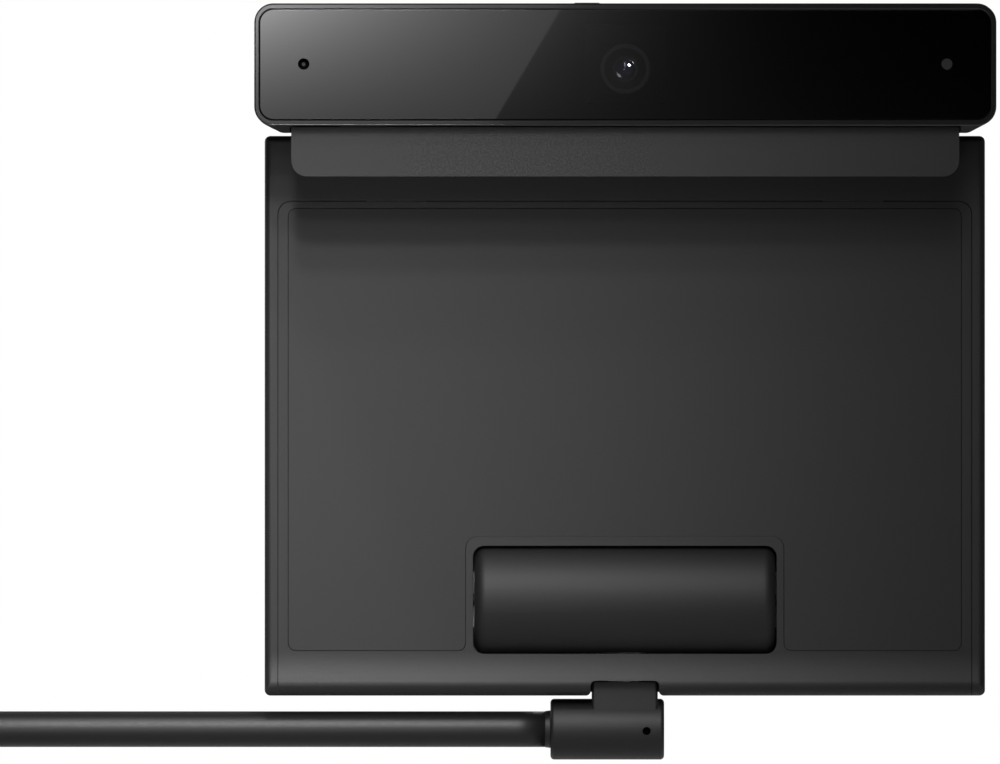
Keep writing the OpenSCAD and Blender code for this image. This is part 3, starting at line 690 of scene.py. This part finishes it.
class CAMERA_BAR_OT_camera(bpy.types.Operator):
    """Makes the camera behind the window"""

    bl_idname = "camera_bar.camera"
    bl_label = "Camera module"

    def execute(self, context):
        # The baffle gets painted shade (deep_black) so that the parts behind the window read as
        # dark.
        rounded_copy("camera_baffle", "baffle", 0.1 * MM, 2, materials=(finish("deep_black"),))
        rounded_copy("camera_barrel", "lens_barrel", 0.12 * MM, 2)
        cup = turned("lens_cup", LENS_CUP, LENS_Z)
        dome = turned("lens_dome", LENS_DOME, LENS_Z)
        lit_alone = bpy.data.collections.new("lens_lit_alone")
        for name, mesh, slot in (("lens_cup", cup, "lens_cup"), ("lens_dome", dome, "lens_glass")):
            piece = add_piece(name, mesh, "head", "lens_glass", finish(slot))
            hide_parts("camera_lens")
            lit_alone.objects.link(piece)
        lens = Vector((0, 0, LENS_Z * MM))
        place = lens + Vector(GLINT_OFFSET)
        glint = add_lamp("lens_glint", place, GLINT_HALF, lens, GLINT_WATTS)
        glint.light_linking.receiver_collection = lit_alone
        glint.light_linking.blocker_collection = lit_alone
        dress("camera_board", "camera_bracket")
        return {"FINISHED"}


class CAMERA_BAR_OT_ports(bpy.types.Operator):
    """Finishes the microphone and the status light"""

    bl_idname = "camera_bar.ports"
    bl_label = "Microphone and light"

    def execute(self, context):
        dress("microphone_board", "status_light_pipe", "status_light_board")
        # The microphone gasket gets painted shade (deep_black) so that the microphone port reads
        # as a dark hole.
        paint("microphone_gasket", "deep_black")
        return {"FINISHED"}


class CAMERA_BAR_OT_shutter(bpy.types.Operator):
    """Makes the privacy shutter and its slider"""

    bl_idname = "camera_bar.shutter"
    bl_label = "Privacy shutter"

    def execute(self, context):
        rounded_copy("shutter_slider", "shutter_knob", 0.2 * MM)
        dress("shutter_blade")
        return {"FINISHED"}


# ---------------------------------------------------------------- lip, leg and pad


class CAMERA_BAR_OT_lip(bpy.types.Operator):
    """Makes the front lip and its rubber face"""

    bl_idname = "camera_bar.lip"
    bl_label = "Front lip"

    def execute(self, context):
        rounded_copy("front_lip", "lip_plate", 1.0 * MM, 5)
        rounded_copy("lip_pad", "lip_rubber", 0.2 * MM)
        return {"FINISHED"}


# The leg's foot, smooth: where its flare starts and ends, how far it reaches, and its roll
FLARE_TOP = -130.5 * MM
FLARE_FOOT = -137.7 * MM
FLARE_REACH = 1.25 * MM
ROLL_R = 2.85 * MM
# The leg's foot as packed: its bottom, front face, ramp, bulge and roll
FOOT_Z = -141.5 * MM
LEG_FRONT = 26 * MM
CAD_RAMP = (-131 * MM, -137 * MM)
CAD_BULGE = 1.2 * MM
CAD_ROLL_R = 3.7 * MM
# How deep behind the front face the flare still bends the shell, and where it stops
FLARE_DEPTH = 2.2 * MM
FLARE_BACK = 29.5 * MM


def plain_front(z):
    """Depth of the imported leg's front face at a height."""
    top, foot = CAD_RAMP
    if z > foot:
        return LEG_FRONT - CAD_BULGE * max(0, (top - z) / (top - foot))
    drop = min(CAD_ROLL_R, max(0, FOOT_Z + CAD_ROLL_R - z))
    return LEG_FRONT - CAD_BULGE + CAD_ROLL_R - math.sqrt(CAD_ROLL_R**2 - drop**2)


def flared_front(z):
    """Depth of the smooth front face: a growing flare that rolls under at the foot."""
    if z > FLARE_FOOT:
        t = max(0, (FLARE_TOP - z) / (FLARE_TOP - FLARE_FOOT))
        return LEG_FRONT - FLARE_REACH * t * t
    rise = z - (FOOT_Z + ROLL_R)
    slope = math.atan(2 * FLARE_REACH / (FLARE_TOP - FLARE_FOOT))
    axis = LEG_FRONT - FLARE_REACH + ROLL_R * math.cos(slope)
    return axis - math.sqrt(max(0, ROLL_R**2 - rise**2))


def flare_foot(form):
    """Turns the leg's straight ramp into a smooth flare."""
    heights = [FLARE_TOP - i * 0.6 * MM for i in range(13)]
    heights += [FOOT_Z + i * 0.35 * MM for i in range(1, 11)]
    for z in heights:
        bmesh.ops.bisect_plane(form, geom=form.verts[:] + form.edges[:] + form.faces[:],
                               plane_co=(0, 0, z), plane_no=(0, 0, 1))
    for vert in form.verts:
        y = vert.co.y
        z = vert.co.z
        if z < FLARE_TOP and y < FLARE_BACK:
            behind = y - plain_front(z)
            share = max(0, 1 - behind / FLARE_DEPTH)
            vert.co.y += share * (flared_front(z) - plain_front(z))


class CAMERA_BAR_OT_leg(bpy.types.Operator):
    """Makes the rear leg's shell, cover, soft panel and arms"""

    bl_idname = "camera_bar.leg"
    bl_label = "Rear leg"

    def execute(self, context):
        rounded_copy("leg_rear_shell", "leg_shell", 0.15 * MM, edit=flare_foot)
        rounded_copy("leg_front_cover", "leg_cover", 0.15 * MM, edit=flare_foot)
        rounded_copy("leg_soft_panel", "leg_panel", 0.15 * MM)
        for side in ("left", "right"):
            rounded_copy("hinge_arm_" + side, "leg_arm_" + side, 0.3 * MM)
        dress("leg_screws", "arm_screws")
        return {"FINISHED"}


class CAMERA_BAR_OT_pad(bpy.types.Operator):
    """Makes the rocking pad"""

    bl_idname = "camera_bar.pad"
    bl_label = "Rocking pad"

    def execute(self, context):
        rounded_copy("rocker_pad", "rocking_pad", 0.6 * MM, 4)
        dress("rocker_core", "rocker_bracket")
        paint("rocker_pin", "black_plastic")
        return {"FINISHED"}


class CAMERA_BAR_OT_plug(bpy.types.Operator):
    """Makes the right-angle plug"""

    bl_idname = "camera_bar.plug"
    bl_label = "Plug"

    def execute(self, context):
        rounded_copy("plug_body", "plug_grip", 0.25 * MM, materials=(finish("plug_rubber"),))
        return {"FINISHED"}


class CAMERA_BAR_OT_insides(bpy.types.Operator):
    """Finishes the boards and the other parts inside the leg"""

    bl_idname = "camera_bar.insides"
    bl_label = "Inner parts"

    def execute(self, context):
        dress("main_board", "processor_shield", "thermal_pad", "heat_spreader",
              "wifi_antennas", "port_board", "port_socket", "board_screws")
        return {"FINISHED"}


# ---------------------------------------------------------------- stage

# Front lamps: rise in degrees, then watts of the broad panel, the wide and the narrow spot
FRONT_LAMPS = [
    (12, 0.20, 3, 6),
    (21, 0.50, 8, 18),
    (30, 1.10, 22, 60),
    (39, 0.90, 16, 50),
    (55, 0.60, 11, 28),
]
# Where each panel stands and how large it is, in metres
OBJECT_MIDDLE = (0, 0, -0.06)
PANEL_REACH = 1.2
PANEL_HALF = (0.14, 0.12)
# Spots: reach, softness and height of their pools, then each pool's centre and radius in metres
SPOT_REACH = 2.0
SPOT_SOFTNESS = 0.09
POOL_Z = -0.06
WIDE_POOL = (-0.13, 0.24)
NARROW_POOL = (-0.11, 0.14)
# The low spot's rise in degrees and its watts
LOW_SPOT = (-6, 16)
# Rear lamps: name, place, half sizes, target, watts
REAR_LAMPS = [
    ("rear", (0.45, 0.8, 0.5), (0.3, 0.3), (0, 0, -0.06), 6.0),
    ("rear_left", (-0.6, 0.7, 0.3), (0.3, 0.3), (0, 0, -0.06), 3.0),
]


def aimed(obj, place, target):
    obj.location = place
    obj.rotation_euler = (Vector(target) - Vector(place)).to_track_quat("-Z", "Y").to_euler()


def add_lamp(name, place, size, target, power):
    light = bpy.data.lights.new("lamp_" + name, "AREA")
    light.shape = "RECTANGLE"
    light.size = 2 * size[0]
    light.size_y = 2 * size[1]
    light.energy = power * settings().stage.lamp_power
    lamp = bpy.data.objects.new("lamp_" + name, light)
    bpy.context.scene.collection.objects.link(lamp)
    aimed(lamp, place, target)
    lamp.visible_camera = False
    return lamp


def add_spot(name, rise, pool, power):
    """A front spot whose soft pool is centred left of the head's middle."""
    centre, radius = pool
    light = bpy.data.lights.new("spot_" + name, "SPOT")
    light.energy = power * settings().stage.lamp_power
    light.spot_size = 2 * math.atan(radius / SPOT_REACH)
    light.spot_blend = 1.0
    light.shadow_soft_size = SPOT_SOFTNESS
    spot = bpy.data.objects.new("spot_" + name, light)
    bpy.context.scene.collection.objects.link(spot)
    target = Vector((centre, 0, POOL_Z))
    aimed(spot, target + from_front(rise) * SPOT_REACH, target)
    return spot


def spare_the_bezel(lamp):
    """Keeps a front lamp off the lacquered bezel, which mirrors the cards alone."""
    name = "lit_by_front_lamps"
    group = bpy.data.collections.get(name) or bpy.data.collections.new(name)
    lamp.light_linking.receiver_collection = group


def from_front(rise):
    """Direction from the object towards a front lamp at a rise in degrees."""
    angle = math.radians(rise)
    return Vector((0, -math.cos(angle), math.sin(angle)))


def add_plane(name, corners, material):
    mesh = bpy.data.meshes.new(name)
    mesh.from_pydata(corners, [], [list(range(len(corners)))])
    mesh.materials.append(material)
    plane = bpy.data.objects.new(name, mesh)
    bpy.context.scene.collection.objects.link(plane)
    return plane


def matt_floor():
    material, tree, shader, coords = new_material("pale_floor")
    tree.links.new(tinted(tree, noise_at(tree, coords, 0.3), (0.8, 0.8, 0.8), 0.99, 1.01),
                   shader.inputs["Base Color"])
    shader.inputs["Roughness"].default_value = 0.9
    return material


def graded_glow(name, origin, scale, level, per_x, per_z, per_xz):
    """Light whose logarithm grows by the given steps per millimetre seen on the glass."""
    material = bpy.data.materials.new(name)
    material.use_nodes = True
    tree = material.node_tree
    tree.nodes.clear()
    out = tree.nodes.new("ShaderNodeOutputMaterial")
    coords = tree.nodes.new("ShaderNodeTexCoord").outputs["Object"]
    split = tree.nodes.new("ShaderNodeSeparateXYZ")
    tree.links.new(coords, split.inputs[0])

    def step(operation, *values):
        node = tree.nodes.new("ShaderNodeMath")
        node.operation = operation
        for socket, value in enumerate(values):
            if isinstance(value, (int, float)):
                node.inputs[socket].default_value = value
            else:
                tree.links.new(value, node.inputs[socket])
        return node.outputs[0]

    x = step("MULTIPLY", step("SUBTRACT", split.outputs["X"], origin[0]), 1 / scale)
    z = step("MULTIPLY", step("SUBTRACT", split.outputs["Z"], origin[1]), 1 / scale)
    total = step("MULTIPLY_ADD", x, per_x, level)
    total = step("MULTIPLY_ADD", z, per_z, total)
    total = step("MULTIPLY_ADD", step("MULTIPLY", x, z), per_xz, total)
    lit = tree.nodes.new("ShaderNodeEmission")
    tree.links.new(step("EXPONENT", total), lit.inputs["Strength"])
    tree.links.new(lit.outputs["Emission"], out.inputs["Surface"])
    return material


# What the camera aims at, in millimetres; the floor's gap below the object and half width
VIEW_CENTRE = (-31.4, -8, -62.6)
FLOOR_GAP = 0.03
FLOOR_HALF = 3.0
# Glass reflectance at right angles, by which the cards' glow is divided
GLASS_MIRROR = 0.04
# Cards: corners as seen on the glass (x, z in mm), where the glow is stated, and its steps
CARDS = [
    ("softbox_card", 3.0, [(-96, -2), (-35.6, -2), (-13.1, 36), (-96, 36)],
     (-89.1, 29.3), -1.25, -0.0245, 0.0557, -0.00055),
    ("fill_card", 3.2, [(-96, -2), (96, -2), (96, 36), (-96, 36)],
     (-16.8, 29.3), -3.55, -0.050, 0.0375, -0.0009),
]


def reflection_cards(stage, target):
    """Graded softboxes, placed so that the flat glass mirrors them to the camera."""
    for name, reach, outline, origin, level, per_x, per_z, per_xz in CARDS:
        stretch = (1 + reach / stage.distance) * MM

        def seen(x, z):
            return (target.x + (x - target.x / MM) * stretch, -reach,
                    target.z + (z - target.z / MM) * stretch)

        x0, _, z0 = seen(*origin)
        glow = graded_glow(name, (x0, z0), stretch, level - math.log(GLASS_MIRROR),
                           per_x, per_z, per_xz)
        card = add_plane(name, [seen(*corner) for corner in outline], glow)
        card.visible_camera = card.visible_diffuse = card.visible_shadow = False


class CAMERA_BAR_OT_stage(bpy.types.Operator):
    """Sets up the camera, the lamps, the softbox card and the floor"""

    bl_idname = "camera_bar.stage"
    bl_label = "Stage"

    def execute(self, context):
        stage = settings().stage
        scene = context.scene
        target = Vector(VIEW_CENTRE) * MM
        data = bpy.data.cameras.new("camera")
        data.sensor_width = 36
        data.lens = data.sensor_width * stage.distance / stage.view_width
        data.clip_end = 1000
        camera = bpy.data.objects.new("camera", data)
        scene.collection.objects.link(camera)
        aimed(camera, target + Vector((0, -stage.distance, 0)), target)
        scene.camera = camera
        middle = Vector(OBJECT_MIDDLE)
        for rise, panel, wide, narrow in FRONT_LAMPS:
            place = middle + PANEL_REACH * from_front(rise)
            spare_the_bezel(add_lamp(f"front_{rise}", place, PANEL_HALF, middle, panel))
            spare_the_bezel(add_spot(f"wide_{rise}", rise, WIDE_POOL, wide))
            spare_the_bezel(add_spot(f"narrow_{rise}", rise, NARROW_POOL, narrow))
        add_spot("low", LOW_SPOT[0], WIDE_POOL, LOW_SPOT[1])
        for lamp in REAR_LAMPS:
            add_lamp(*lamp)
        reflection_cards(stage, target)
        z = CAD_BOX[0].z - FLOOR_GAP
        half = FLOOR_HALF
        corners = [(-half, -half, z), (half, -half, z), (half, half, z), (-half, half, z)]
        add_plane("floor", corners, matt_floor())
        world = bpy.data.worlds.new("studio")
        world.use_nodes = True
        tree = world.node_tree
        background = tree.nodes["Background"]
        path = tree.nodes.new("ShaderNodeLightPath")
        tree.links.new(spread(tree, path.outputs["Is Camera Ray"], 0.05, 1.0, 0, 1),
                       background.inputs["Strength"])
        background.inputs["Color"].default_value = (1, 1, 1, 1)
        scene.world = world
        scene.view_settings.view_transform = "Standard"
        return {"FINISHED"}


# ---------------------------------------------------------------- add-on


class CameraBarSettings(bpy.types.PropertyGroup):
    """All settings of the object."""

    casing: PointerProperty(type=CasingSettings)
    glass: PointerProperty(type=GlassSettings)
    cable: PointerProperty(type=CableSettings)
    stage: PointerProperty(type=StageSettings)


# The stage and the cable come first, so that the view and the cable's room are settled
OPERATORS = (
    CAMERA_BAR_OT_stage, CAMERA_BAR_OT_cable, CAMERA_BAR_OT_head, CAMERA_BAR_OT_glass,
    CAMERA_BAR_OT_camera, CAMERA_BAR_OT_ports, CAMERA_BAR_OT_shutter, CAMERA_BAR_OT_lip,
    CAMERA_BAR_OT_leg, CAMERA_BAR_OT_pad, CAMERA_BAR_OT_plug, CAMERA_BAR_OT_insides,
)


class CAMERA_BAR_PT_panel(bpy.types.Panel):
    """Lists the pieces of the camera bar"""

    bl_idname = "CAMERA_BAR_PT_panel"
    bl_label = "Camera bar"
    bl_space_type = "VIEW_3D"
    bl_region_type = "UI"
    bl_category = "Camera bar"

    def draw(self, context):
        for operator in OPERATORS:
            self.layout.operator(operator.bl_idname)
        for group in ("casing", "glass", "cable", "stage"):
            values = getattr(context.scene.camera_bar, group)
            box = self.layout.box()
            for name in values.__annotations__:
                box.prop(values, name)


CLASSES = (CasingSettings, GlassSettings, CableSettings, StageSettings, CameraBarSettings,
           *OPERATORS, CAMERA_BAR_PT_panel)


def register():
    for cls in CLASSES:
        bpy.utils.register_class(cls)
    bpy.types.Scene.camera_bar = PointerProperty(type=CameraBarSettings)


def unregister():
    del bpy.types.Scene.camera_bar
    for cls in reversed(CLASSES):
        bpy.utils.unregister_class(cls)


def main():
    register()
    for operator in OPERATORS:
        group, name = operator.bl_idname.split(".")
        getattr(getattr(bpy.ops, group), name)()


if __name__ == "__main__":
    main()
